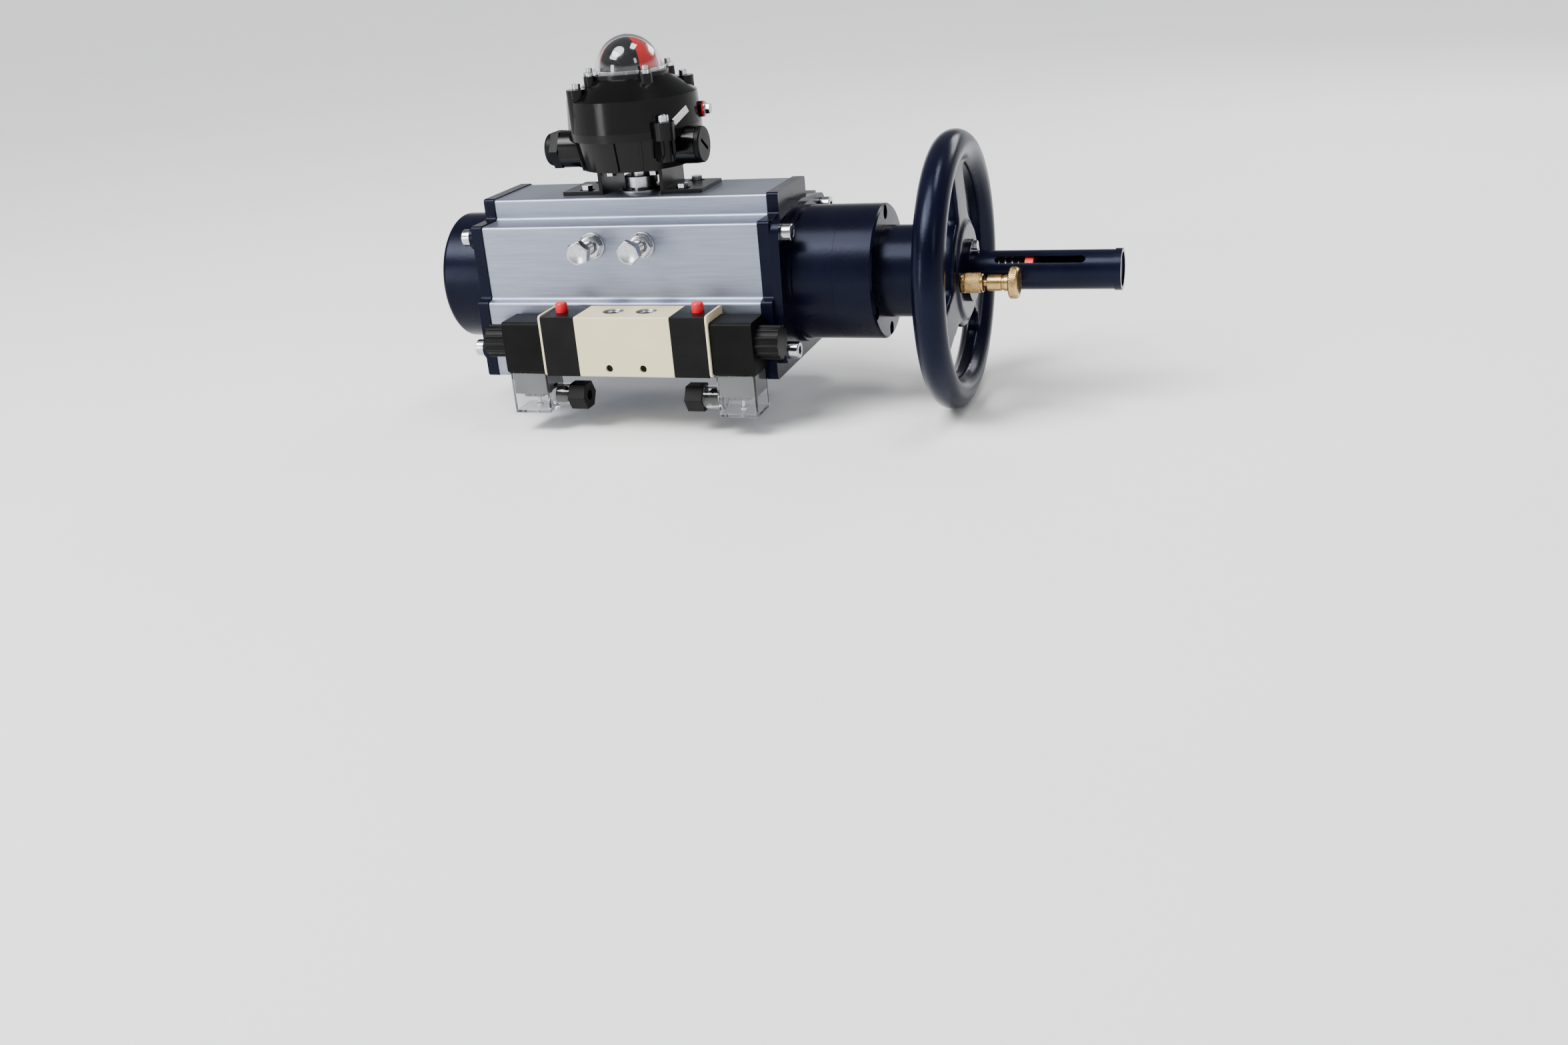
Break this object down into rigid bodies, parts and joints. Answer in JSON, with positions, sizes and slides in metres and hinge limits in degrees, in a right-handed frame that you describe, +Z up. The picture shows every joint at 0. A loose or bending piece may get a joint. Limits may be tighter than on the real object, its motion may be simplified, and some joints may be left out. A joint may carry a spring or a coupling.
{
  "type": "rotary pneumatic actuator",
  "caption": "Rack-and-pinion rotary air actuator with handwheel override, domed limit-switch box on a bracket, and a double-solenoid valve with clear plug connectors.",
  "frame": {"origin": "centre of the lower mounting face, on the drive-shaft axis", "axes": "+Z up along the drive shaft, +X along the cylinder towards the handwheel, -Y towards the solenoid valve"},
  "size_m": [0.5298, 0.206, 0.286],
  "materials": {
    "anodised_body": "satin anodised, light grey",
    "navy_paint": "glossy dark navy-black powder coat",
    "wheel_paint": "glossy dark navy-black enamel",
    "box_paint": "glossy black powder coat",
    "zinc_steel": "bright zinc-plated steel",
    "black_steel": "blackened steel",
    "machined_steel": "machined steel",
    "piston_alloy": "die-cast aluminium, as cast",
    "seal_rubber": "nitrile rubber",
    "bearing_plastic": "natural bearing plastic",
    "bronze": "machined bronze",
    "brass_part": "turned and knurled brass",
    "indicator_red": "signal red, gloss",
    "indicator_black": "black, gloss",
    "clear_dome": "clear polycarbonate",
    "clear_connector": "clear polycarbonate",
    "bracket_black": "black painted sheet steel",
    "black_plastic": "black moulded nylon",
    "coil_plastic": "black moulded epoxy",
    "valve_cream": "cream enamel over aluminium",
    "cream_plate": "cream enamel on pressed plate",
    "button_red": "bright red plastic",
    "grey_insert": "dark grey nylon",
    "switch_plastic": "black phenolic",
    "cam_plastic": "red acetal"
  },
  "bodies": {
    "body": {"cylinder_body": "anodised_body", "left_end_cap": "navy_paint", "right_end_cap": "navy_paint", "end_cap_screws": "zinc_steel", "override_housing": "navy_paint", "housing_screws": "black_steel", "hub_bush": "bronze", "lower_bearing": "bearing_plastic", "upper_bearing": "bearing_plastic", "stop_bolts": "zinc_steel", "stop_nuts": "zinc_steel", "stop_washers": "zinc_steel", "switch_bracket": "bracket_black", "bracket_screws": "zinc_steel", "box_base": "box_paint", "box_cover": "box_paint", "cover_screws": "zinc_steel", "indicator_dome": "clear_dome", "dome_screws": "zinc_steel", "microswitches": "switch_plastic", "left_cable_plug": "black_plastic", "right_cable_plug": "black_plastic", "earth_terminal": "zinc_steel", "valve_body": "valve_cream", "valve_screws": "black_steel", "port_seals": "seal_rubber", "left_pilot_block": "black_plastic", "right_pilot_block": "black_plastic", "end_plates": "cream_plate", "left_coil": "coil_plastic", "right_coil": "coil_plastic", "coil_knobs": "black_plastic", "left_connector": "clear_connector", "right_connector": "clear_connector", "terminal_blocks": "grey_insert", "gland_nuts": "black_plastic"},
    "drive": {"drive_shaft": "machined_steel", "thrust_washer": "machined_steel", "circlip": "black_steel", "box_spindle": "machined_steel", "switch_cams": "cam_plastic", "indicator_red": "indicator_red", "indicator_black": "indicator_black"},
    "left_piston_group": {"left_piston": "piston_alloy", "left_piston_ring": "seal_rubber"},
    "right_piston_group": {"right_piston": "piston_alloy", "right_piston_ring": "seal_rubber"},
    "wheel": {"handwheel": "wheel_paint", "hub_ring": "black_steel", "bronze_nut": "bronze", "guard_tube": "wheel_paint", "tube_plug": "black_plastic", "plunger_barrel": "brass_part", "hub_bolts": "zinc_steel"},
    "screw": {"override_screw": "machined_steel", "indicator_collar": "indicator_red"},
    "lock": {"lock_pin": "brass_part"},
    "button_left": {"left_button": "button_red"},
    "button_right": {"right_button": "button_red"},
    "spool": {"valve_spool": "machined_steel"}
  },
  "joints": [
    {"name": "shaft_turn", "type": "hinge", "parent": "body", "child": "drive", "pos_m": [0, 0, 0.0665], "axis": [0, 0, 1], "range_deg": [0, 90]},
    {"name": "left_piston_slide", "type": "slide", "parent": "body", "child": "left_piston_group", "axis": [-1, 0, 0], "range_m": [0, 0.03142]},
    {"name": "right_piston_slide", "type": "slide", "parent": "body", "child": "right_piston_group", "axis": [1, 0, 0], "range_m": [0, 0.03142]},
    {"name": "handwheel_turn", "type": "hinge", "parent": "body", "child": "wheel", "pos_m": [0.246, 0, 0.0665], "axis": [1, 0, 0], "range_deg": [0, 1440]},
    {"name": "screw_slide", "type": "slide", "parent": "body", "child": "screw", "axis": [-1, 0, 0], "range_m": [0, 0.02001]},
    {"name": "lock_slide", "type": "slide", "parent": "wheel", "child": "lock", "axis": [-1, 0, 0], "range_m": [0, 0.008]},
    {"name": "left_button_press", "type": "slide", "parent": "body", "child": "button_left", "axis": [0, 0, -1], "range_m": [0, 0.002], "stiffness_N_per_m": 600, "springref_m": -0.001},
    {"name": "right_button_press", "type": "slide", "parent": "body", "child": "button_right", "axis": [0, 0, -1], "range_m": [0, 0.002], "stiffness_N_per_m": 600, "springref_m": -0.001},
    {"name": "spool_slide", "type": "slide", "parent": "body", "child": "spool", "axis": [1, 0, 0], "range_m": [-0.003, 0.003]}
  ],
  "couplings": [
    {"joint": "left_piston_slide", "follows": "shaft_turn", "m_per_rad": 0.02},
    {"joint": "right_piston_slide", "follows": "shaft_turn", "m_per_rad": 0.02},
    {"joint": "screw_slide", "follows": "handwheel_turn", "m_per_rad": 0.00079577}
  ]
}
